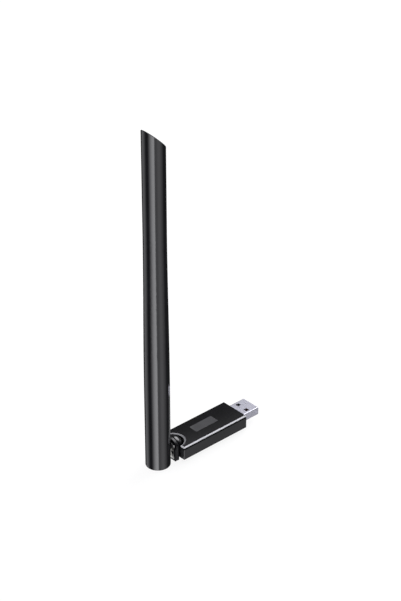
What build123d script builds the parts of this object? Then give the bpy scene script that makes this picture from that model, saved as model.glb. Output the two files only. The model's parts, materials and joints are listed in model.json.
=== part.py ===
from build123d import *
import math
import os

# USB wireless adapter with a hinged rod antenna.
# Millimetres. The origin is the centre of the USB plug where it leaves the case:
# +X points out of the plug, +Z is up, and the case lies along -X.

# --- Case ---------------------------------------------------------------------------------
CASE_LENGTH = 45.25
CASE_WIDTH = 18.15
CASE_TOP = 4.08             # height of the top face's long edges, before they are bevelled
CASE_BOTTOM = -3.85
CROWN = 0.12                # how much higher the top face is along its middle
CASE_WALL = 1.2
FLOOR_THICKNESS = 1.0
FRONT_CORNER_RADIUS = 0.45
REAR_CORNER_RADIUS = 0.35
LOWER_EDGE_RADIUS = 0.25
COVER_RIM = 1.0             # height of the cover's visible rim, bevel included
COVER_BEVEL = 0.72          # bevel round the cover's upper edge
COVER_INNER = 1.05          # thickness of the cover inside the walls
COVER_FIT = 0.05            # gap between cover lip and case wall
SHADOW_GAP = 0.8            # height of the groove under the cover's rim
SHADOW_DEPTH = 0.6          # how far that groove runs in
NOTCH_RADIUS = 6.05         # half-round cut-out at the rear, for the swivel
NOTCH_BEVEL = 1.0           # width in plan of the dished bevel round it
NOTCH_BEVEL_DEPTH = 0.3
POCKET_WALL = 0.9

# --- Label plate --------------------------------------------------------------------------
LABEL_LENGTH = 15.6
LABEL_WIDTH = 5.85
LABEL_THICKNESS = 0.4
LABEL_DEPTH = 0.3           # depth of its recess
LABEL_CENTRE_X = -22.85
LABEL_CENTRE_Y = 0.4
LABEL_FIT = 0.08

# --- USB plug -----------------------------------------------------------------------------
PLUG_WIDTH = 12.0
PLUG_HEIGHT = 4.5
PLUG_LENGTH = 11.75         # what stands out of the case
PLUG_BACK = 9.0             # what is inside the case
SHEET = 0.3
PLUG_CORNER = 0.55
HOLE_SIZE = 2.2
HOLE_FROM_TIP = 6.4
HOLE_SPACING = 6.4
SEAM_WIDTH = 0.12
DIMPLE_RADIUS = 0.55
DIMPLE_DEPTH = 0.1
DIMPLE_FROM_TIP = 2.3
INSULATOR_TOP = -0.15
CONTACT_WIDTH = 1.0
CONTACT_THICKNESS = 0.25
CONTACT_Y = (-3.5, -1.0, 1.0, 3.5)

# --- Circuit board ------------------------------------------------------------------------
BOARD_TOP = -0.4
BOARD_THICKNESS = 1.0
BOARD_WIDTH = 14.8
BOARD_FRONT = -3.0
BOARD_REAR = -34.0
BOARD_NOTCH = 12.4          # cut-out that clears the plug
POST_X = (-14.0, -31.0)     # posts that locate the board
POST_Y = (-6.2, 6.2)
POST_RADIUS = 0.6
SHIELD_X = (-29.5, -17.5)
SHIELD_HALF_WIDTH = 5.0
SHIELD_HEIGHT = 2.0
SHIELD_SHEET = 0.2
# Packaged parts: centre x, centre y, length, width, height
RADIO_CHIP = (-23.5, 0.0, 6.0, 6.0, 0.9)
MEMORY_CHIP = (-14.3, -2.6, 3.0, 3.9, 1.4)
CRYSTAL = (-11.4, -5.5, 2.5, 2.0, 0.8)
REGULATOR = (-15.4, 3.4, 1.6, 2.9, 1.1)
LEAD_PITCH = 0.69
LEAD_WIDTH = 0.3
LEAD_HEIGHT = 0.2
PASSIVE = (1.0, 0.5, 0.5)   # length, width, height of a small capacitor or resistor
PASSIVE_PLACES = ((-27.5, 3.6), (-25.5, 3.6), (-19.5, 3.6), (-27.5, -3.6), (-25.5, -3.6),
                  (-19.5, -3.6), (-31.0, 3.2), (-32.0, -3.2), (-12.0, 0.2), (-12.0, 1.6))
SOCKET_X = -32.2            # coaxial socket for the antenna lead
SOCKET_RADIUS = 0.95
LEAD_HEIGHT_OVER_BOARD = 1.35

# --- Swivel, which turns about X ------------------------------------------------------------
SWIVEL_Z = 1.3
DOME_RADIUS = 5.2
DOME_WALL = 1.1
SEAM_GAP = 0.7              # shadow gap between fixed dome and turning knuckle
BEARING_THICKNESS = 1.3
SHAFT_RADIUS = 2.0
SHAFT_BORE = 0.95
RUNNING_FIT = 0.05
CLIP_GROOVE = 0.35
CLIP_THICKNESS = 0.5
WASHER_THICKNESS = 0.3

# --- Knuckle ------------------------------------------------------------------------------
KNUCKLE_HALF_WIDTH = 5.95
KNUCKLE_BOTTOM = -4.75
KNUCKLE_ARCH = 7.7          # radius of its arched top
KNUCKLE_ARCH_Z = -0.7       # height of that arch's centre
KNUCKLE_REAR_DROP = 1.5     # how much lower its rear half stands
KNUCKLE_SHOULDER = 1.0      # rounds the arch into the sides
KNUCKLE_REAR = 3.5          # distance of its rear face behind the case
KNUCKLE_SPLIT = 2.35        # joint between its front and rear mouldings
KNUCKLE_GROOVE = 0.25
PLATE_HALF_WIDTH = 4.85
PLATE_TOP = 4.4
PLATE_BOTTOM = -3.8
PLATE_CORNER = 0.7
PLATE_THICKNESS = 0.7
SCREW_Y = (-3.4, 3.4)
SCREW_Z = 0.0
SCREW_RADIUS = 0.48
SCREW_HEAD_RADIUS = 0.9
STEP_Z = 1.75               # height of the step pressed across the hinge plate

# --- Tilt hinge, which turns about Y --------------------------------------------------------
ANTENNA_OFFSET = 10.45      # antenna axis behind the case
TILT_Z = -1.0
EYE_RADIUS = 2.6
TONGUE_HALF = 2.4
SLOT_HALF = 2.95
PIN_RADIUS = 1.0
CAP_RADIUS = 1.6
FRICTION_WASHER = 0.4
RELIEF_RADIUS = 6.5         # rounds the lower front edge so that it passes the knuckle
EYE_GROOVE_RADIUS = 2.1     # floor of the groove round the eye, in which the lead bends

# --- Antenna ------------------------------------------------------------------------------
ANTENNA_BOTTOM = -5.7
ANTENNA_TOP = 184.2         # height of the slanted end, on the axis
LOWER_RADIUS = 6.72
UPPER_RADIUS = 6.02
STRAIGHT_TOP = 43.5         # the rod is straight up to here
TAPER_TOP = 134.0           # and slims down to its upper radius here
TUBE_WALL = 1.25
BORE_TOP = 174.0
FORK_TOP = 16.0
FORK_FIT = 0.05
SOCKET_DEPTH = 0.4

# --- Feed and radiator --------------------------------------------------------------------
COAX_RADIUS = 0.68
COAX_BEND = 2.6
FEED_Z = 62.0
FERRULE_RADIUS = 1.5
FERRULE_LENGTH = 6.0
BALUN_RADIUS = 3.2
BALUN_WALL = 0.3
BALUN_LENGTH = 30.0
WIRE_RADIUS = 0.6
COIL_RADIUS = 2.6
COIL_WIRE_RADIUS = 0.54
COIL_PITCH = 2.4
COIL_TURNS = 4
COIL_Z = 118.0
WIRE_TOP = 168.0
FOAM_HEIGHT = 7.0
FOAM_Z = (34.0, 102.0, 155.0)

# --- Worked out from the above ------------------------------------------------------------
REAR_X = -CASE_LENGTH
TOP_Z = CASE_TOP + CROWN
CROWN_RADIUS = (CASE_WIDTH ** 2 / 4 + CROWN ** 2) / (2 * CROWN)
RIM_Z = TOP_Z - COVER_RIM
FLOOR_Z = CASE_BOTTOM + FLOOR_THICKNESS
ANTENNA_X = REAR_X - ANTENNA_OFFSET
KNUCKLE_FRONT_X = REAR_X - SEAM_GAP
KNUCKLE_SPLIT_X = REAR_X - KNUCKLE_SPLIT
KNUCKLE_REAR_X = REAR_X - KNUCKLE_REAR
BORE_RADIUS = LOWER_RADIUS - TUBE_WALL
FORK_RADIUS = BORE_RADIUS - FORK_FIT
BOARD_BOTTOM = BOARD_TOP - BOARD_THICKNESS


# --- Small helpers ------------------------------------------------------------------------
def span(x0, x1, y0, y1, z0, z1):
    """A box between two corners."""
    low = Pos((x0 + x1) / 2, (y0 + y1) / 2, (z0 + z1) / 2)
    return low * Box(abs(x1 - x0), abs(y1 - y0), abs(z1 - z0))


def rod_x(radius, x0, x1, y=0.0, z=0.0):
    """A cylinder along X."""
    return Pos((x0 + x1) / 2, y, z) * Rot(0, 90, 0) * Cylinder(radius, abs(x1 - x0))


def rod_y(radius, y0, y1, x=0.0, z=0.0):
    """A cylinder along Y."""
    return Pos(x, (y0 + y1) / 2, z) * Rot(90, 0, 0) * Cylinder(radius, abs(y1 - y0))


def rod_z(radius, z0, z1, x=0.0, y=0.0):
    """A cylinder along Z."""
    return Pos(x, y, (z0 + z1) / 2) * Cylinder(radius, abs(z1 - z0))


def ring_x(outer, inner, x0, x1, z):
    """A washer about X."""
    return rod_x(outer, x0, x1, 0, z) - rod_x(inner, x0 - 1, x1 + 1, 0, z)


def ring_z(outer, inner, z0, z1):
    """A tube on the antenna's axis."""
    return rod_z(outer, z0, z1, ANTENNA_X) - rod_z(inner, z0 - 1, z1 + 1, ANTENNA_X)


def rounded_plan(inset, z0, z1):
    """The case's outline, drawn in by inset, as an upright prism."""
    x0 = REAR_X + inset
    x1 = -inset
    half = CASE_WIDTH / 2 - inset
    body = span(x0, x1, -half, half, z0, z1)
    front = body.edges().filter_by(Axis.Z).group_by(Axis.X)[-1]
    body = fillet(front, max(FRONT_CORNER_RADIUS - inset, 0.3))
    rear = body.edges().filter_by(Axis.Z).group_by(Axis.X)[0]
    return fillet(rear, max(REAR_CORNER_RADIUS - inset, 0.2))


def tombstone(x0, x1, arch_z):
    """A slab across X with upright sides, an arch centred at arch_z and round shoulders."""
    half = KNUCKLE_HALF_WIDTH
    slab = span(x0, x1, -half, half, KNUCKLE_BOTTOM, 20)
    slab &= rod_x(KNUCKLE_ARCH, x0 - 1, x1 + 1, 0, arch_z)
    shoulders = slab.edges().filter_by(Axis.X).group_by(Axis.Z)[-1]
    return fillet(shoulders, KNUCKLE_SHOULDER)


# --- Case shells --------------------------------------------------------------------------
def bottom_case():
    """Tray with walls, rear pocket for the swivel, and pads that carry the board."""
    outer = rounded_plan(0, CASE_BOTTOM, RIM_Z - SHADOW_GAP)
    lower = outer.faces().sort_by(Axis.Z)[0].edges()
    outer = fillet(lower, LOWER_EDGE_RADIUS)
    body = outer + rounded_plan(SHADOW_DEPTH, CASE_BOTTOM + 1, RIM_Z)
    body -= rounded_plan(CASE_WALL, FLOOR_Z, TOP_Z)

    pocket = rod_z(NOTCH_RADIUS + POCKET_WALL, CASE_BOTTOM + 0.2, RIM_Z, REAR_X)
    body += pocket & span(REAR_X, 0, -20, 20, -10, 10)
    body -= rod_z(NOTCH_RADIUS, FLOOR_Z, TOP_Z, REAR_X)
    body -= span(REAR_X - 1, REAR_X + 0.9, -NOTCH_RADIUS, NOTCH_RADIUS, FLOOR_Z, TOP_Z)
    lead_hole = span(REAR_X + 4, REAR_X + 9, -1.0, 1.0, BOARD_TOP, RIM_Z)
    body -= lead_hole

    plug_half = PLUG_WIDTH / 2 + COVER_FIT
    plug_low = -PLUG_HEIGHT / 2 - COVER_FIT
    body -= span(-CASE_WALL - 1, 1, -plug_half, plug_half, plug_low, TOP_Z)
    for x in POST_X:
        for y in POST_Y:
            body += span(x - 1.2, x + 1.2, y - 1.0, y + 1.0, FLOOR_Z - 0.2, BOARD_BOTTOM)
            body += rod_z(POST_RADIUS, FLOOR_Z - 0.2, BOARD_TOP + 0.6, x, y)
    return body


def crowned_space():
    """All the space under the slightly crowned top face."""
    return rod_x(CROWN_RADIUS, -60, 10, 0, TOP_Z - CROWN_RADIUS)


def notch_bevel():
    """The cone that dishes the lid round its notch, a little longer than it needs to be."""
    over = 0.3
    wide = NOTCH_RADIUS + NOTCH_BEVEL * (1 + over)
    depth = NOTCH_BEVEL_DEPTH * (1 + over)
    cone = Cone(NOTCH_RADIUS, wide, depth)
    return Pos(REAR_X, 0, TOP_Z - NOTCH_BEVEL_DEPTH + depth / 2) * cone


def top_cover():
    """Lid with a bevelled edge, a half-round notch at the rear and a recess for the label."""
    half = CASE_WIDTH / 2
    slab = span(REAR_X, 0, -half, half, RIM_Z, TOP_Z)
    slab = chamfer(slab.faces().sort_by(Axis.Z)[-1].edges(), COVER_BEVEL)
    lid = slab & rounded_plan(0, RIM_Z, TOP_Z)
    lip_outer = rounded_plan(CASE_WALL + COVER_FIT, TOP_Z - COVER_INNER - 1.0, TOP_Z - 0.2)
    lip_inner = rounded_plan(CASE_WALL + COVER_FIT + 0.6, TOP_Z - 5, TOP_Z - COVER_INNER)
    skirt = lip_outer - lip_inner
    clearance = NOTCH_RADIUS + POCKET_WALL + COVER_FIT
    skirt -= rod_z(clearance, CASE_BOTTOM, RIM_Z, REAR_X)
    plug_half = PLUG_WIDTH / 2 + 0.1
    skirt -= span(-3, 1, -plug_half, plug_half, -3, PLUG_HEIGHT / 2 + COVER_FIT)
    lid += skirt
    lid -= rod_z(NOTCH_RADIUS, CASE_BOTTOM, TOP_Z + 1, REAR_X)
    lid -= notch_bevel()
    lid &= crowned_space()
    plug_tab_half = PLUG_WIDTH / 2
    tab_low = PLUG_HEIGHT / 2 + COVER_FIT
    lid += span(-CASE_WALL, -SHADOW_DEPTH, -plug_tab_half, plug_tab_half, tab_low, RIM_Z + 0.1)

    half_x = LABEL_LENGTH / 2 + LABEL_FIT
    half_y = LABEL_WIDTH / 2 + LABEL_FIT
    recess = span(LABEL_CENTRE_X - half_x, LABEL_CENTRE_X + half_x,
                  LABEL_CENTRE_Y - half_y, LABEL_CENTRE_Y + half_y,
                  TOP_Z - LABEL_DEPTH, TOP_Z + 1)
    return lid - recess


def label_plate():
    """Plain name plate, with softened edges, that stands a little proud of its recess."""
    low = TOP_Z - LABEL_DEPTH
    plate = span(LABEL_CENTRE_X - LABEL_LENGTH / 2, LABEL_CENTRE_X + LABEL_LENGTH / 2,
                 LABEL_CENTRE_Y - LABEL_WIDTH / 2, LABEL_CENTRE_Y + LABEL_WIDTH / 2,
                 low, low + LABEL_THICKNESS)
    plate = fillet(plate.edges().filter_by(Axis.Z), 0.35)
    return fillet(plate.faces().sort_by(Axis.Z)[-1].edges(), 0.1)


# --- USB plug -----------------------------------------------------------------------------
def plug_prism(inset, x0, x1):
    """The plug's rounded rectangular section as a bar along X."""
    half_y = PLUG_WIDTH / 2 - inset
    half_z = PLUG_HEIGHT / 2 - inset
    bar = span(x0, x1, -half_y, half_y, -half_z, half_z)
    return fillet(bar.edges().filter_by(Axis.X), max(PLUG_CORNER - inset, 0.2))


def usb_shell():
    """Formed sheet-metal shell with locking holes, side dimples and the seam underneath."""
    shell = plug_prism(0, -PLUG_BACK, PLUG_LENGTH)
    rim = shell.faces().sort_by(Axis.X)[-1].edges()
    shell = fillet(rim, 0.14)
    shell -= plug_prism(SHEET, -PLUG_BACK - 1, PLUG_LENGTH + 1)
    hole_x = PLUG_LENGTH - HOLE_FROM_TIP
    half = HOLE_SIZE / 2
    for y in (-HOLE_SPACING / 2, HOLE_SPACING / 2):
        shell -= span(hole_x - half, hole_x + half, y - half, y + half, -5, 5)
    shell -= span(-PLUG_BACK - 1, PLUG_LENGTH + 1, -SEAM_WIDTH / 2, SEAM_WIDTH / 2, -5, 0)
    dimple_x = PLUG_LENGTH - DIMPLE_FROM_TIP
    for side in (-1, 1):
        y0 = side * (PLUG_WIDTH / 2 - DIMPLE_DEPTH)
        y1 = side * (PLUG_WIDTH / 2 + 1)
        shell -= rod_y(DIMPLE_RADIUS, y0, y1, dimple_x, 0)
    return shell


def contact_track(y, clearance):
    """The bar that one contact strip fills, grown by a clearance."""
    half = CONTACT_WIDTH / 2 + clearance
    low = INSULATOR_TOP - CONTACT_THICKNESS
    return span(-12.0 - clearance, PLUG_LENGTH - 1.6, y - half, y + half, low, INSULATOR_TOP + 1)


def usb_insulator():
    """Moulded block that fills the plug's lower half and carries the contacts."""
    inner_y = PLUG_WIDTH / 2 - SHEET - 0.06
    low = -PLUG_HEIGHT / 2 + SHEET + 0.06
    block = span(-8.5, PLUG_LENGTH - 0.6, -inner_y, inner_y, low, INSULATOR_TOP)
    block = fillet(block.edges().filter_by(Axis.X).group_by(Axis.Z)[0], 0.25)
    heel = span(-8.5, -5.0, -inner_y, inner_y, INSULATOR_TOP - 0.1, -low)
    block += fillet(heel.edges().filter_by(Axis.X).group_by(Axis.Z)[-1], 0.25)
    for y in CONTACT_Y:
        block -= contact_track(y, 0.03) - span(-20, -4.9, -20, 20, INSULATOR_TOP, 5)
    return block


def usb_contacts():
    """Four contact strips in the insulator, each with a tail that reaches its board pad."""
    strips = []
    for y in CONTACT_Y:
        half = CONTACT_WIDTH / 2
        low = INSULATOR_TOP - CONTACT_THICKNESS
        strip = span(-10.2, PLUG_LENGTH - 1.65, y - half, y + half, low, INSULATOR_TOP - 0.02)
        strips.append(strip)
    return Compound(children=strips)


# --- Electronics --------------------------------------------------------------------------
def circuit_board():
    """Board with a front notch for the plug and four locating holes."""
    half = BOARD_WIDTH / 2
    board = span(BOARD_REAR, BOARD_FRONT, -half, half, BOARD_BOTTOM, BOARD_TOP)
    board -= span(-PLUG_BACK - 0.2, 0, -BOARD_NOTCH / 2, BOARD_NOTCH / 2, -5, 5)
    for x in POST_X:
        for y in POST_Y:
            board -= rod_z(POST_RADIUS + 0.08, -5, 5, x, y)
    return board


def chip(x, y, length, width, height, edge=0.12):
    """A packaged part that stands on the board, with a softened top."""
    body = span(x - length / 2, x + length / 2, y - width / 2, y + width / 2,
                BOARD_TOP, BOARD_TOP + height)
    return chamfer(body.faces().sort_by(Axis.Z)[-1].edges(), edge)


def rf_shield():
    """Pressed can over the radio section, open underneath, with three vent holes."""
    x0, x1 = SHIELD_X
    half = SHIELD_HALF_WIDTH
    can = span(x0, x1, -half, half, BOARD_TOP, BOARD_TOP + SHIELD_HEIGHT)
    can = fillet(can.edges().filter_by(Axis.Z), 0.6)
    can = fillet(can.faces().sort_by(Axis.Z)[-1].edges(), 0.3)
    sheet = SHIELD_SHEET
    can -= span(x0 + sheet, x1 - sheet, -half + sheet, half - sheet,
                BOARD_TOP - 1, BOARD_TOP + SHIELD_HEIGHT - sheet)
    middle = (x0 + x1) / 2
    for x in (middle - 3, middle, middle + 3):
        can -= rod_z(0.5, BOARD_TOP + 1, BOARD_TOP + 3, x, 0)
    return can


def regulator():
    """Three-lead voltage regulator."""
    x, y, length, width, height = REGULATOR
    lead_top = BOARD_TOP + LEAD_HEIGHT
    half = LEAD_WIDTH / 2
    body = chip(x, y, length, width, height)
    body += span(x - 1.4, x, y - half, y + half, BOARD_TOP, lead_top)
    for lead_y in (y - 0.95, y, y + 0.95):
        body += span(x, x + 1.4, lead_y - half, lead_y + half, BOARD_TOP, lead_top)
    return body


def memory_chip():
    """Eight-lead configuration memory."""
    x, y, length, width, height = MEMORY_CHIP
    reach = width / 2 + 0.55
    half = LEAD_WIDTH / 2
    body = chip(x, y, length, width, height)
    for step in range(4):
        lead_x = x + LEAD_PITCH * (step - 1.5)
        body += span(lead_x - half, lead_x + half, y - reach, y + reach,
                     BOARD_TOP, BOARD_TOP + LEAD_HEIGHT)
    return body


def passives():
    """Chip capacitors and resistors, each a separate small block."""
    return Compound(children=[chip(x, y, *PASSIVE, edge=0.05) for x, y in PASSIVE_PLACES])


def antenna_socket():
    """Small round coaxial socket at the board's rear end."""
    base = span(SOCKET_X - 1.4, SOCKET_X + 1.4, -1.4, 1.4, BOARD_TOP, BOARD_TOP + 0.3)
    barrel = rod_z(SOCKET_RADIUS, BOARD_TOP, BOARD_TOP + 1.1, SOCKET_X)
    barrel -= rod_z(SOCKET_RADIUS - 0.3, BOARD_TOP + 0.3, BOARD_TOP + 5, SOCKET_X)
    return base + barrel + rod_z(0.25, BOARD_TOP, BOARD_TOP + 1.0, SOCKET_X)


def coax_plug():
    """Snap-on cap of the coaxial lead, which sits over the socket."""
    low = BOARD_TOP + 0.4
    lead_z = BOARD_TOP + LEAD_HEIGHT_OVER_BOARD
    cap = rod_z(1.4, low, low + 1.1, SOCKET_X) + rod_x(0.95, SOCKET_X - 3, SOCKET_X - 1.2, 0, lead_z)
    cap -= rod_z(SOCKET_RADIUS + 0.05, low - 1, low + 0.8, SOCKET_X)
    return cap - rod_x(COAX_RADIUS + 0.02, SOCKET_X - 4, SOCKET_X - 1.8, 0, lead_z)


# --- Coaxial lead -------------------------------------------------------------------------
def tube_along(points, radii):
    """A round lead that follows straight runs joined by tangent arcs."""
    path = FilletPolyline(*points, radius=radii)
    start = Plane(origin=path @ 0, z_dir=path % 0)
    return sweep(start * Circle(COAX_RADIUS), path=path)


def coax_in_case():
    """Lead from the board's socket to the swivel, where it runs on along the swivel axis."""
    lead_z = BOARD_TOP + LEAD_HEIGHT_OVER_BOARD
    points = [(SOCKET_X - 1.85, 0, lead_z), (SOCKET_X - 3.8, 0, lead_z),
              (SOCKET_X - 6.3, 0, SWIVEL_Z), (REAR_X + 3.2, 0, SWIVEL_Z)]
    return tube_along(points, [6.0, 6.0])


def coax_in_knuckle():
    """Straight lead on the swivel axis, through the hollow shaft and over the tongue."""
    return rod_x(COAX_RADIUS, REAR_X + 3.1, ANTENNA_X + COAX_BEND + 0.7, 0, SWIVEL_Z)


def coax_in_antenna():
    """Lead that turns up inside the antenna and runs to the feed point."""
    points = [(ANTENNA_X + COAX_BEND + 0.6, 0, SWIVEL_Z), (ANTENNA_X, 0, SWIVEL_Z),
              (ANTENNA_X, 0, FEED_Z)]
    return tube_along(points, COAX_BEND)


# --- Swivel -------------------------------------------------------------------------------
def swivel_dome():
    """Hollow half ball fixed in the case's notch; it covers the end of the swivel shaft."""
    ball = Pos(REAR_X, 0, SWIVEL_Z) * Sphere(DOME_RADIUS)
    ball &= span(REAR_X, REAR_X + 10, -20, 20, FLOOR_Z + COVER_FIT, 20)
    ball -= Pos(REAR_X, 0, SWIVEL_Z) * Sphere(DOME_RADIUS - DOME_WALL)
    ball -= rod_x(DOME_RADIUS - DOME_WALL, REAR_X - 1, REAR_X + BEARING_THICKNESS, 0, SWIVEL_Z)
    return ball - rod_x(COAX_RADIUS + 0.15, REAR_X, REAR_X + 9, 0, SWIVEL_Z)


def swivel_bearing():
    """Disc in the dome's mouth whose bore carries the shaft."""
    outer = DOME_RADIUS - DOME_WALL - 0.03
    disc = ring_x(outer, SHAFT_RADIUS + RUNNING_FIT, REAR_X + 0.1, REAR_X + BEARING_THICKNESS,
                  SWIVEL_Z)
    return disc & span(REAR_X, REAR_X + 5, -20, 20, FLOOR_Z + 0.1, 20)


def shaft_clip():
    """Open ring in the shaft's groove that keeps the shaft in the bearing."""
    x0 = REAR_X + BEARING_THICKNESS + WASHER_THICKNESS + 0.08
    clip = ring_x(2.9, SHAFT_RADIUS - CLIP_GROOVE + 0.02, x0, x0 + CLIP_THICKNESS, SWIVEL_Z)
    return clip - span(x0 - 1, x0 + 2, -1.2, 1.2, SWIVEL_Z - 5, SWIVEL_Z)


def wave_washer():
    """Spring washer between clip and bearing, which gives the swivel its friction."""
    x0 = REAR_X + BEARING_THICKNESS + 0.04
    return ring_x(3.0, SHAFT_RADIUS + RUNNING_FIT, x0, x0 + WASHER_THICKNESS, SWIVEL_Z)


def knuckle_front():
    """Front half of the knuckle, with the hollow shaft."""
    slab = tombstone(KNUCKLE_SPLIT_X, KNUCKLE_FRONT_X, KNUCKLE_ARCH_Z)
    slab = fillet(slab.faces().sort_by(Axis.X)[-1].edges(), 0.3)
    slab = chamfer(slab.faces().sort_by(Axis.X)[0].edges(), KNUCKLE_GROOVE)
    shaft_end = REAR_X + BEARING_THICKNESS + WASHER_THICKNESS + CLIP_THICKNESS + 0.7
    shaft = rod_x(SHAFT_RADIUS, KNUCKLE_FRONT_X - 0.5, shaft_end, 0, SWIVEL_Z)
    groove_x = REAR_X + BEARING_THICKNESS + WASHER_THICKNESS + 0.06
    shaft -= ring_x(SHAFT_RADIUS + 1, SHAFT_RADIUS - CLIP_GROOVE, groove_x,
                    groove_x + CLIP_THICKNESS + 0.04, SWIVEL_Z)
    slab += shaft
    for y in SCREW_Y:
        slab -= rod_x(0.5, KNUCKLE_SPLIT_X - 1, KNUCKLE_SPLIT_X + 1.3, y, SCREW_Z)
    return slab - rod_x(SHAFT_BORE, KNUCKLE_REAR_X - 1, shaft_end + 1, 0, SWIVEL_Z)


def plate_blank(grow):
    """The hinge plate's round-cornered outline, grown by a clearance."""
    half = PLATE_HALF_WIDTH + grow
    slab = span(KNUCKLE_REAR_X, KNUCKLE_REAR_X + PLATE_THICKNESS, -half, half,
                PLATE_BOTTOM - grow, PLATE_TOP + grow)
    return fillet(slab.edges().filter_by(Axis.X), PLATE_CORNER + grow)


def knuckle_rear():
    """Rear half of the knuckle, recessed for the hinge plate."""
    slab = tombstone(KNUCKLE_REAR_X, KNUCKLE_SPLIT_X - 0.02, KNUCKLE_ARCH_Z - KNUCKLE_REAR_DROP)
    slab = chamfer(slab.faces().sort_by(Axis.X)[-1].edges(), KNUCKLE_GROOVE)
    slab = fillet(slab.faces().sort_by(Axis.X)[0].edges(), 0.2)
    slab -= plate_blank(0.05)
    for y in SCREW_Y:
        slab -= rod_x(0.65, KNUCKLE_REAR_X, KNUCKLE_SPLIT_X + 1, y, SCREW_Z)
    return slab - rod_x(SHAFT_BORE, KNUCKLE_REAR_X - 1, 0, 0, SWIVEL_Z)


def hinge_bracket():
    """Metal plate with the tongue that enters the antenna and turns on the tilt pin."""
    plate = plate_blank(0)
    plate -= rod_x(SHAFT_BORE, KNUCKLE_REAR_X - 1, 0, 0, SWIVEL_Z)
    eye = rod_y(EYE_RADIUS, -TONGUE_HALF, TONGUE_HALF, ANTENNA_X, TILT_Z)
    neck = span(ANTENNA_X, KNUCKLE_REAR_X + 0.1, -TONGUE_HALF, TONGUE_HALF,
                TILT_Z - EYE_RADIUS, TILT_Z + EYE_RADIUS)
    tongue = eye + neck
    channel_half = COAX_RADIUS + 0.15
    tongue -= span(ANTENNA_X - 5, KNUCKLE_REAR_X + 1, -channel_half, channel_half,
                   SWIVEL_Z - channel_half, SWIVEL_Z + 3)
    groove = rod_y(EYE_RADIUS + 1, -channel_half, channel_half, ANTENNA_X, TILT_Z)
    groove -= rod_y(EYE_GROOVE_RADIUS, -channel_half, channel_half, ANTENNA_X, TILT_Z)
    tongue -= groove
    bracket = plate + tongue
    bracket -= rod_y(PIN_RADIUS + RUNNING_FIT, -9, 9, ANTENNA_X, TILT_Z)
    for side in (-1, 1):
        bracket -= span(KNUCKLE_REAR_X - 0.1, KNUCKLE_REAR_X + 0.35, side * 2.7, side * 9,
                        STEP_Z - 0.4, STEP_Z + 0.4)
    for y in SCREW_Y:
        bracket -= rod_x(0.6, KNUCKLE_REAR_X - 1, KNUCKLE_SPLIT_X, y, SCREW_Z)
        bracket -= rod_x(0.95, KNUCKLE_REAR_X - 1, KNUCKLE_REAR_X + 0.4, y, SCREW_Z)
    return bracket


def bracket_screws():
    """Two countersunk screws that hold the hinge plate and both knuckle halves together."""
    screws = []
    for y in SCREW_Y:
        head_x = KNUCKLE_REAR_X + 0.08
        screw = rod_x(SCREW_HEAD_RADIUS, head_x, head_x + 0.3, y, SCREW_Z)
        screw += rod_x(SCREW_RADIUS, head_x, KNUCKLE_SPLIT_X + 1.2, y, SCREW_Z)
        for turn in (0, 90):
            cross = Box(0.4, 1.0, 0.22)
            screw -= Pos(head_x, y, SCREW_Z) * Rot(turn, 0, 0) * cross
        screws.append(screw)
    return Compound(children=screws)


# --- Tilt hinge ---------------------------------------------------------------------------
def tilt_pin():
    """Steel pin across the fork and the tongue."""
    pin = rod_y(PIN_RADIUS, -5.1, 5.1, ANTENNA_X, TILT_Z)
    return chamfer(pin.edges().filter_by(GeomType.CIRCLE), 0.15)


def friction_washers():
    """Two washers on the pin, one each side of the tongue."""
    washers = []
    for side in (-1, 1):
        y0 = side * (TONGUE_HALF + 0.06)
        y1 = side * (TONGUE_HALF + 0.06 + FRICTION_WASHER)
        disc = rod_y(2.3, y0, y1, ANTENNA_X, TILT_Z)
        washers.append(disc - rod_y(PIN_RADIUS + 0.03, -9, 9, ANTENNA_X, TILT_Z))
    return Compound(children=washers)


def antenna_fork():
    """Plug in the antenna's lower end: two cheeks for the pin, and a bore for the lead."""
    body = rod_z(FORK_RADIUS, ANTENNA_BOTTOM + SOCKET_DEPTH, FORK_TOP, ANTENNA_X)
    body = chamfer(body.faces().sort_by(Axis.Z)[-1].edges(), 0.4)
    body -= span(ANTENNA_X - EYE_RADIUS - 0.35, ANTENNA_X + 9, -SLOT_HALF, SLOT_HALF,
                 ANTENNA_BOTTOM - 1, TILT_Z + EYE_RADIUS + 2.4)
    body -= rod_z(1.3, -9, FORK_TOP + 1, ANTENNA_X)
    body -= rod_y(PIN_RADIUS + 0.01, -9, 9, ANTENNA_X, TILT_Z)
    return body & relief_envelope()


def relief_envelope():
    """All the space the antenna's lower end may fill without meeting the knuckle."""
    swept = rod_y(RELIEF_RADIUS, -9, 9, ANTENNA_X, TILT_Z)
    above = span(ANTENNA_X - 9, ANTENNA_X + 9, -9, 9, TILT_Z, 250)
    behind = span(ANTENNA_X - 9, ANTENNA_X, -9, 9, -20, TILT_Z)
    return swept + above + behind


def rod_profile(bottom, top, lower, upper):
    """Half section of the rod: straight, then slimmed by a smooth curve, then straight."""
    outline = Polyline((0, top), (0, bottom), (lower, bottom), (lower, STRAIGHT_TOP))
    slim = Spline((lower, STRAIGHT_TOP), (upper, TAPER_TOP), tangents=((0, 1), (0, 1)))
    close = Polyline((upper, TAPER_TOP), (upper, top), (0, top))
    section = make_face([outline, slim, close])
    return Pos(ANTENNA_X, 0, 0) * revolve(Plane.XZ * section, Axis.Z)


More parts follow.
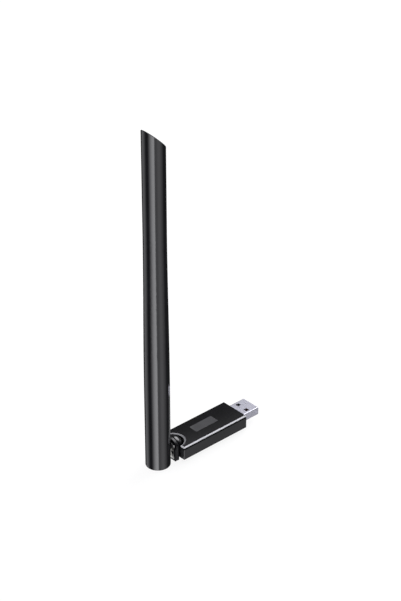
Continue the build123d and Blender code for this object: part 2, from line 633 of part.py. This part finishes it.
def antenna_tube():
    """Outer tube of the antenna, closed by a slanted top and slotted for the tongue."""
    body = rod_profile(ANTENNA_BOTTOM, ANTENNA_TOP + UPPER_RADIUS + 1, LOWER_RADIUS, UPPER_RADIUS)
    cutter = Box(60, 60, 40)
    body -= Pos(ANTENNA_X, 0, ANTENNA_TOP) * Rot(0, 45, 0) * Pos(0, 0, 20) * cutter
    slant = body.faces().filter_by(GeomType.PLANE).sort_by(Axis.Z)[-1]
    body = fillet(slant.edges(), 0.25)
    bottom = body.faces().sort_by(Axis.Z)[0]
    body = fillet(bottom.edges(), 0.3)
    body -= rod_profile(ANTENNA_BOTTOM - 1, BORE_TOP, BORE_RADIUS, UPPER_RADIUS - TUBE_WALL)
    body -= span(ANTENNA_X, ANTENNA_X + 9, -SLOT_HALF, SLOT_HALF, ANTENNA_BOTTOM - 1,
                 SWIVEL_Z + COAX_RADIUS + 0.7)
    body -= rod_y(CAP_RADIUS + 0.03, -9, 9, ANTENNA_X, TILT_Z)
    return body & relief_envelope()


def pin_caps():
    """Flush caps that close the pin's holes in the tube."""
    skin = rod_z(LOWER_RADIUS - 0.04, -10, 10, ANTENNA_X)
    caps = []
    for side in (-1, 1):
        cap = rod_y(CAP_RADIUS, side * (FORK_RADIUS + 0.08), side * 8, ANTENNA_X, TILT_Z)
        caps.append(cap & skin)
    return Compound(children=caps)


# --- Radiator -----------------------------------------------------------------------------
def crimp_ferrule():
    """Brass collar that crimps the lead's braid at the feed point."""
    body = ring_z(FERRULE_RADIUS, COAX_RADIUS + 0.04, FEED_Z - FERRULE_LENGTH, FEED_Z)
    return body


def balun_sleeve():
    """Quarter-wave brass sleeve that hangs from the feed point over the lead."""
    tube = ring_z(BALUN_RADIUS, BALUN_RADIUS - BALUN_WALL, FEED_Z - BALUN_LENGTH + 3, FEED_Z)
    lid = ring_z(BALUN_RADIUS, FERRULE_RADIUS + 0.03, FEED_Z - BALUN_WALL, FEED_Z)
    return tube + lid


def radiator_wire():
    """Lower and upper straight lengths of the radiator."""
    coil_top = COIL_Z + COIL_PITCH * COIL_TURNS
    lower = rod_z(WIRE_RADIUS, FEED_Z + 0.05, COIL_Z - WIRE_RADIUS, ANTENNA_X)
    upper = rod_z(WIRE_RADIUS, coil_top + WIRE_RADIUS, WIRE_TOP, ANTENNA_X)
    arm_end = ANTENNA_X + COIL_RADIUS + WIRE_RADIUS
    arm_gap = WIRE_RADIUS + COIL_WIRE_RADIUS + 0.03
    lower += rod_x(WIRE_RADIUS, ANTENNA_X, arm_end, 0, COIL_Z - arm_gap)
    upper += rod_x(WIRE_RADIUS, ANTENNA_X, arm_end, 0, coil_top + arm_gap)
    return Compound(children=[lower, upper])


def phasing_coil():
    """Open coil that joins the two lengths of the radiator."""
    turns = Helix(COIL_PITCH, COIL_PITCH * COIL_TURNS, COIL_RADIUS)
    start = Plane(origin=turns @ 0, z_dir=turns % 0)
    coil = sweep(start * Circle(COIL_WIRE_RADIUS), path=turns, is_frenet=True)
    return Pos(ANTENNA_X, 0, COIL_Z) * coil


def bore_radius_at(z):
    """A radius that is safely inside the tube's bore at height z."""
    share = min(max((z - STRAIGHT_TOP) / (TAPER_TOP - STRAIGHT_TOP), 0), 1)
    lower = BORE_RADIUS - 0.1
    upper = UPPER_RADIUS - TUBE_WALL - 0.1
    return lower + (upper - lower) * min(1.25 * share, 1)


def foam_spacers():
    """Three foam discs that hold the radiator on the tube's axis."""
    spacers = []
    for z in FOAM_Z:
        inner = WIRE_RADIUS if z > FEED_Z else BALUN_RADIUS
        disc = ring_z(bore_radius_at(z + FOAM_HEIGHT), inner + 0.05, z, z + FOAM_HEIGHT)
        spacers.append(disc)
    return Compound(children=spacers)


NODES = {
    "bottom_case": bottom_case,
    "top_cover": top_cover,
    "label_plate": label_plate,
    "usb_shell": usb_shell,
    "usb_insulator": usb_insulator,
    "usb_contacts": usb_contacts,
    "circuit_board": circuit_board,
    "rf_shield": rf_shield,
    "radio_chip": lambda: chip(*RADIO_CHIP),
    "memory_chip": memory_chip,
    "crystal": lambda: chip(*CRYSTAL),
    "regulator": regulator,
    "passives": passives,
    "antenna_socket": antenna_socket,
    "coax_plug": coax_plug,
    "coax_in_case": coax_in_case,
    "swivel_dome": swivel_dome,
    "swivel_bearing": swivel_bearing,
    "knuckle_front": knuckle_front,
    "shaft_clip": shaft_clip,
    "wave_washer": wave_washer,
    "knuckle_rear": knuckle_rear,
    "hinge_bracket": hinge_bracket,
    "bracket_screws": bracket_screws,
    "coax_in_knuckle": coax_in_knuckle,
    "tilt_pin": tilt_pin,
    "friction_washers": friction_washers,
    "antenna_fork": antenna_fork,
    "antenna_tube": antenna_tube,
    "pin_caps": pin_caps,
    "coax_in_antenna": coax_in_antenna,
    "crimp_ferrule": crimp_ferrule,
    "balun_sleeve": balun_sleeve,
    "radiator_wire": radiator_wire,
    "phasing_coil": phasing_coil,
    "foam_spacers": foam_spacers,
}


def main():
    os.makedirs("parts", exist_ok=True)
    for name, make in NODES.items():
        shape = make()
        export_step(shape, f"parts/{name}.step")
        print(f"{name}: {shape.volume:.3f} mm3")


main()
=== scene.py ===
import bpy
import json
import math
from mathutils import Matrix, Vector


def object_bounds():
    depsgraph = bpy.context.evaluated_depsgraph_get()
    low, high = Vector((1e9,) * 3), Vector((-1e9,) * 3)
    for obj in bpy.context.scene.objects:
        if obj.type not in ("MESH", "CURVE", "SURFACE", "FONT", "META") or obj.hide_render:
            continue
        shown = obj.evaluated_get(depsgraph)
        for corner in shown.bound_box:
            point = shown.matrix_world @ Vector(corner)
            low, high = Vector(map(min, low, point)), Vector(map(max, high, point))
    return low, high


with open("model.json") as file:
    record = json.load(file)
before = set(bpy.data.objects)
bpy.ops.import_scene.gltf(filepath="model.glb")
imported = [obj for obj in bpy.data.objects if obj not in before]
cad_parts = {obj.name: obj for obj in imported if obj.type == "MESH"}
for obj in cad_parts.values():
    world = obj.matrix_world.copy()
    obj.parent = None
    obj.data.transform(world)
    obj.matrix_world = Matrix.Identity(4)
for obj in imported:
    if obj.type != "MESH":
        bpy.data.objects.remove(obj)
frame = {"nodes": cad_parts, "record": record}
cad_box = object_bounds()
nodes = frame["nodes"]
scene = bpy.context.scene

MM = 0.001

# --- Surfaces -----------------------------------------------------------------------------
PLASTIC_IOR = 1.5
FULL_SHINE = 0.5                        # the shader's own specular level
COLOUR_DRIFT_SCALE = 60.0
ROUGHNESS_DRIFT_SCALE = 900.0
METAL_GRAIN_SCALE = 700.0
METAL_GRAIN_DEPTH = 0.02 * MM
SEAM_X = (-46.15 * MM, -45.0 * MM)      # ends of the band of painted shade round the swivel's seam
SEAM_FADE = 0.12 * MM

# --- Camera, floor and backdrop -----------------------------------------------------------
CAMERA_AZIMUTH = math.radians(-132.18)
CAMERA_ELEVATION = math.radians(30.79)
CAMERA_DISTANCE = 954.0 * MM
AIM = Vector((-8.8, 18.4, 67.6)) * MM
LENS = 108.0
SENSOR_WIDTH = 36.0
VIEW_DISTANCE = 60.0
FLOOR_HALF = 20.0
FLOOR_CLEARANCE = 0.02 * MM             # the floor lies this far under the antenna's foot
FLOOR_COLOUR = (0.09, 0.09, 0.09, 1)
FLOOR_GLOW = 0.89
BACKDROP = 1.0                          # brightness of the world behind the object
SKY_TINT = (0.97, 0.97, 1.0, 1.0)

# --- Studio light -------------------------------------------------------------------------
# Soft panels as seen from the object, in degrees. Each row is: the azimuth where the panel
# starts to show, where it is full, where it starts to fade and where it is gone; the same
# four for its height above the horizon; and its brightness.
PANELS = [
    # tall panels beside the table, which reach below its edge
    ((-190, -136, -128, -123), (-89, -80, 2, 12), 5.3),
    ((-127, -124, -74, -28), (-89, -80, 2, 12), 0.95),
    ((-110, -92, -82, -62), (-89, -80, 2, 12), 0.4),
    ((90, 110, 128, 156), (-89, -80, 2, 12), 0.85),
    # overhead softbox, the key light in front of it and a weaker one at its side
    ((-181, -180, 180, 181), (44, 76, 90, 91), 2.2),
    ((-26, -4, 24, 42), (12, 24, 48, 64), 6.5),
    ((74, 96, 140, 165), (26, 40, 56, 68), 2.5),
    # faint glow beyond the case, which grades its top
    ((28, 40, 60, 76), (34, 43, 50, 60), 0.85),
]
BASE_LIGHT = 0.05


class Nodes:
    """Short forms for building a node tree."""

    def __init__(self, tree):
        self.tree = tree

    def add(self, kind, **values):
        node = self.tree.nodes.new(kind)
        for key, value in values.items():
            setattr(node, key, value)
        return node

    def link(self, source, target):
        self.tree.links.new(source, target)

    def component(self, vector, axis):
        split = self.add("ShaderNodeSeparateXYZ")
        self.link(vector, split.inputs[0])
        return split.outputs[axis]

    def math(self, operation, *values):
        node = self.add("ShaderNodeMath", operation=operation)
        for socket, value in zip(node.inputs, values):
            if isinstance(value, (int, float)):
                socket.default_value = value
            else:
                self.link(value, socket)
        return node.outputs["Value"]

    def step(self, value, low, high):
        """Smoothly 0 to 1 as value goes from low to high."""
        node = self.add("ShaderNodeMapRange", interpolation_type="SMOOTHSTEP")
        node.inputs["From Min"].default_value = low
        node.inputs["From Max"].default_value = high
        self.link(value, node.inputs["Value"])
        return node.outputs["Result"]


class Material(Nodes):
    """A procedural material on the object's own coordinates."""

    def __init__(self, name):
        self.mat = bpy.data.materials.new(name)
        self.mat.use_nodes = True
        super().__init__(self.mat.node_tree)
        self.shader = self.tree.nodes["Principled BSDF"]
        texture = self.add("ShaderNodeTexCoord")
        self.coords = texture.outputs["Object"]
        self.normal = texture.outputs["Normal"]

    def set(self, **values):
        for key, value in values.items():
            self.shader.inputs[key.replace("_", " ")].default_value = value

    def feed(self, source, socket):
        self.link(source, self.shader.inputs[socket])

    def noise(self, scale, detail=3.0, stretch=(1, 1, 1)):
        mapping = self.add("ShaderNodeMapping")
        mapping.inputs["Scale"].default_value = stretch
        self.link(self.coords, mapping.inputs["Vector"])
        tex = self.add("ShaderNodeTexNoise")
        tex.inputs["Scale"].default_value = scale
        tex.inputs["Detail"].default_value = detail
        self.link(mapping.outputs["Vector"], tex.inputs["Vector"])
        return tex.outputs["Fac"]

    def ramp(self, factor, first, second):
        """Blend between two stops, each a place and a colour."""
        node = self.add("ShaderNodeValToRGB")
        for element, (place, colour) in zip(node.color_ramp.elements, (first, second)):
            element.position = place
            element.color = (*colour, 1.0)
        self.link(factor, node.inputs["Fac"])
        return node.outputs["Color"]

    def range(self, factor, low, high):
        node = self.add("ShaderNodeMapRange")
        node.inputs["To Min"].default_value = low
        node.inputs["To Max"].default_value = high
        self.link(factor, node.inputs["Value"])
        return node.outputs["Result"]

    def mix(self, factor, first, second):
        """Colour first where factor is 0, the plain colour second where it is 1."""
        node = self.add("ShaderNodeMix", data_type="RGBA")
        self.link(factor, node.inputs["Factor"])
        self.link(first, node.inputs["A"])
        node.inputs["B"].default_value = (*second, 1.0)
        return node.outputs["Result"]

    def bump(self, height, strength, distance):
        node = self.add("ShaderNodeBump")
        node.inputs["Strength"].default_value = strength
        node.inputs["Distance"].default_value = distance
        self.link(height, node.inputs["Height"])
        self.feed(node.outputs["Normal"], "Normal")

    def upright_mask(self):
        """1 on upright faces, 0 on those that face up."""
        return self.math("SUBTRACT", 1.0, self.step(self.component(self.normal, "Z"), 0.3, 0.72))

    def front_mask(self):
        """1 on faces that look along +X, 0 elsewhere."""
        return self.step(self.component(self.normal, "X"), 0.35, 0.65)

    def slope_mask(self):
        """1 on faces that slope between upright and level, 0 elsewhere."""
        upward = self.component(self.normal, "Z")
        level = self.step(upward, 0.9, 0.99)
        return self.math("SUBTRACT", self.step(upward, 0.3, 0.6), level)

    def seam_shade(self):
        """Painted shade at the swivel's seam: 0 on the two rims that face each other across it,
        1 elsewhere.
        """
        place = self.component(self.coords, "X")
        behind, ahead = (self.step(place, x - SEAM_FADE, x + SEAM_FADE) for x in SEAM_X)
        return self.math("SUBTRACT", self.math("ADD", ahead, 1.0), behind)


def scaled(colour, factor):
    return tuple(min(1.0, c * factor) for c in colour)


def plastic(name, colour, roughness, grain, grain_scale, strength, painted_bevel_highlight=None,
            painted_shade_sides=None, painted_shade_front=None):
    """Moulded plastic: faint colour drift, roughness drift and a fine spark-eroded grain.

    bevel is a light colour painted on the slopes between upright and level faces, a painted
    highlight, if any; painted_shade_sides is the shine left on upright faces, turned down as
    painted shade together with painted shade at the swivel's seam, and painted_shade_front the
    shine left on faces that look along +X, turned down as painted shade.
    """
    m = Material(name)
    drift = m.noise(COLOUR_DRIFT_SCALE, 2.0)
    shade = m.ramp(drift, (0.3, scaled(colour, 0.8)), (0.7, scaled(colour, 1.25)))
    # painted highlight: the slopes between upright and level faces take a light colour
    if painted_bevel_highlight:
        shade = m.mix(m.slope_mask(), shade, painted_bevel_highlight)
    m.feed(shade, "Base Color")
    m.feed(m.range(m.noise(ROUGHNESS_DRIFT_SCALE), roughness * 0.85, roughness * 1.15),
           "Roughness")
    m.bump(m.noise(grain_scale, 2.0), strength, grain)
    m.set(IOR=PLASTIC_IOR)
    # painted shade: shine turned down on upright faces and, through seam_shade, on the rims at
    # the swivel's seam
    if painted_shade_sides is not None:
        shine = m.range(m.upright_mask(), FULL_SHINE, painted_shade_sides)
        m.feed(m.math("MULTIPLY", shine, m.seam_shade()), "Specular IOR Level")
    # painted shade: shine turned down on faces that look along +X, towards the case
    if painted_shade_front is not None:
        m.feed(m.range(m.front_mask(), FULL_SHINE, painted_shade_front), "Specular IOR Level")
    return m.mat


def metal(name, colour, roughness, brush=(1, 1, 1), strength=0.05, edge=None):
    """Plated or drawn metal with a directional fine grain; edge is a colour painted on its
    slopes, used as painted shade.
    """
    m = Material(name)
    m.set(Metallic=1.0)
    grain = m.noise(METAL_GRAIN_SCALE, 4.0, brush)
    shade = m.ramp(grain, (0.25, scaled(colour, 0.9)), (0.75, colour))
    # painted shade: the slopes take the darker edge colour, which dims their reflection
    if edge:
        shade = m.mix(m.slope_mask(), shade, edge)
    m.feed(shade, "Base Color")
    m.feed(m.range(grain, roughness * 0.8, roughness * 1.25), "Roughness")
    m.bump(grain, strength, METAL_GRAIN_DEPTH)
    return m.mat


# Plastics: colour, roughness, depth of the grain, its scale and its strength.
PLASTICS = {
    "case_plastic": ((0.009, 0.009, 0.0098), 0.22, 0.02 * MM, 5200.0, 0.3),
    "cover_plastic": ((0.0045, 0.0045, 0.0052), 0.15, 0.02 * MM, 5200.0, 0.3),
    "label_film": ((0.05, 0.05, 0.053), 0.22, 0.01 * MM, 3000.0, 0.2),
    "black_nylon": ((0.012, 0.008, 0.008), 0.5, 0.02 * MM, 4000.0, 0.3),
    "board_laminate": ((0.01, 0.09, 0.04), 0.35, 0.01 * MM, 900.0, 0.3),
    "chip_resin": ((0.02, 0.02, 0.022), 0.55, 0.01 * MM, 4000.0, 0.3),
    "ceramic": ((0.35, 0.26, 0.18), 0.5, 0.01 * MM, 3000.0, 0.2),
    "coax_jacket": ((0.02, 0.02, 0.02), 0.4, 0.01 * MM, 2000.0, 0.2),
    "hinge_plastic": ((0.004, 0.004, 0.0048), 0.2, 0.01 * MM, 4200.0, 0.2),
    "acetal": ((0.7, 0.7, 0.66), 0.4, 0.01 * MM, 2000.0, 0.2),
    "antenna_plastic": ((0.0034, 0.0034, 0.0042), 0.12, 0.004 * MM, 2600.0, 0.1),
    "foam": ((0.04, 0.04, 0.042), 0.9, 0.3 * MM, 900.0, 0.8),
}
# What some surfaces have besides: a light colour painted on slopes as a painted highlight, a
# darker colour painted on slopes as painted shade, or shine turned down on some faces as painted
# shade.
EXTRAS = {
    "cover_plastic": {"painted_bevel_highlight": (0.62, 0.62, 0.65)},
    "hinge_plastic": {"painted_shade_sides": 0.1},
    "antenna_plastic": {"painted_shade_front": 0.06},
    # the plug's slopes get a darker colour as painted shade
    "plug_steel": {"edge": (0.3, 0.3, 0.33)},
}
# Metals: colour, roughness and how the grain is squeezed along each axis.
METALS = {
    "plug_steel": ((0.8, 0.8, 0.9), 0.28, (1, 12, 12)),
    "gold_contact": ((0.30, 0.10, 0.07), 0.3, (12, 1, 1)),
    "tinned_steel": ((0.66, 0.66, 0.64), 0.3, (1, 8, 8)),
    "spring_steel": ((0.5, 0.5, 0.52), 0.3, (1, 8, 8)),
    "bracket_metal": ((0.62, 0.62, 0.60), 0.36, (8, 8, 1)),
    "screw_steel": ((0.05, 0.05, 0.055), 0.35, (1, 1, 1)),
    "brass": ((0.75, 0.52, 0.2), 0.3, (8, 8, 1)),
    "copper_wire": ((0.8, 0.4, 0.25), 0.3, (8, 8, 1)),
}


def dress_nodes():
    """Give each piece the material that the record names for it."""
    materials = {}
    for make, table in ((plastic, PLASTICS), (metal, METALS)):
        for name, values in table.items():
            materials[name] = make(name, *values, **EXTRAS.get(name, {}))
    for row in frame["record"]["subparts"]:
        slots = nodes[row["node"]].data.materials
        slots.clear()
        slots.append(materials[row["material_slot"]])


def place_camera():
    back = Vector((math.cos(CAMERA_ELEVATION) * math.cos(CAMERA_AZIMUTH),
                   math.cos(CAMERA_ELEVATION) * math.sin(CAMERA_AZIMUTH),
                   math.sin(CAMERA_ELEVATION)))
    right = Vector((-math.sin(CAMERA_AZIMUTH), math.cos(CAMERA_AZIMUTH), 0.0))
    turn = Matrix((right, back.cross(right), back)).transposed().to_4x4()
    camera = bpy.data.objects.new("camera", bpy.data.cameras.new("camera"))
    camera.data.lens = LENS
    camera.data.sensor_width = SENSOR_WIDTH
    camera.data.clip_end = VIEW_DISTANCE
    camera.matrix_world = Matrix.Translation(AIM + back * CAMERA_DISTANCE) @ turn
    scene.collection.objects.link(camera)
    scene.camera = camera
    scene.view_settings.view_transform = "Standard"


def lay_floor():
    """Pale floor that glows a little, and is left out of reflections and shadows."""
    far = FLOOR_HALF
    mesh = bpy.data.meshes.new("floor")
    mesh.from_pydata([(-far, -far, 0), (far, -far, 0), (far, far, 0), (-far, far, 0)], [],
                     [(0, 1, 2, 3)])
    floor = bpy.data.objects.new("floor", mesh)
    floor.location.z = cad_box[0][2] - FLOOR_CLEARANCE
    scene.collection.objects.link(floor)
    look = Material("floor")
    look.set(Base_Color=FLOOR_COLOUR, Roughness=0.9)
    look.set(Emission_Color=(1, 1, 1, 1), Emission_Strength=FLOOR_GLOW)
    mesh.materials.append(look.mat)
    floor.visible_glossy = False
    floor.visible_shadow = False


class Sky(Nodes):
    """The world's light, given by direction."""

    def __init__(self, name):
        self.world = bpy.data.worlds.new(name)
        self.world.use_nodes = True
        super().__init__(self.world.node_tree)

    def window(self, angle, edges):
        start, full, fade, gone = edges
        return self.math("SUBTRACT", self.step(angle, start, full), self.step(angle, fade, gone))

    def panel(self, azimuth, height, across, upward, brightness):
        """One soft panel; its azimuth is measured from its middle, so that it can pass 180."""
        middle = (across[1] + across[2]) / 2
        turned = self.math("WRAP", self.math("SUBTRACT", azimuth, middle), 180.0, -180.0)
        sideways = self.window(turned, [edge - middle for edge in across])
        shape = self.math("MULTIPLY", sideways, self.window(height, upward))
        return self.math("MULTIPLY", shape, brightness)


def studio_light():
    """Panels for everything that is lit or mirrored; a plain backdrop for the camera."""
    sky = Sky("studio")
    scene.world = sky.world
    direction = sky.add("ShaderNodeTexCoord").outputs["Generated"]
    x, y, z = (sky.component(direction, axis) for axis in "XYZ")
    azimuth = sky.math("MULTIPLY", sky.math("ARCTAN2", y, x), math.degrees(1))
    height = sky.math("MULTIPLY", sky.math("ARCSINE", z), math.degrees(1))
    total = BASE_LIGHT
    for across, upward, brightness in PANELS:
        total = sky.math("ADD", sky.panel(azimuth, height, across, upward, brightness), total)
    strength = sky.add("ShaderNodeMix", data_type="FLOAT")
    sky.link(sky.add("ShaderNodeLightPath").outputs["Is Camera Ray"], strength.inputs["Factor"])
    sky.link(total, strength.inputs["A"])
    strength.inputs["B"].default_value = BACKDROP
    background = sky.tree.nodes["Background"]
    background.inputs["Color"].default_value = SKY_TINT
    sky.link(strength.outputs["Result"], background.inputs["Strength"])


dress_nodes()
place_camera()
lay_floor()
studio_light()
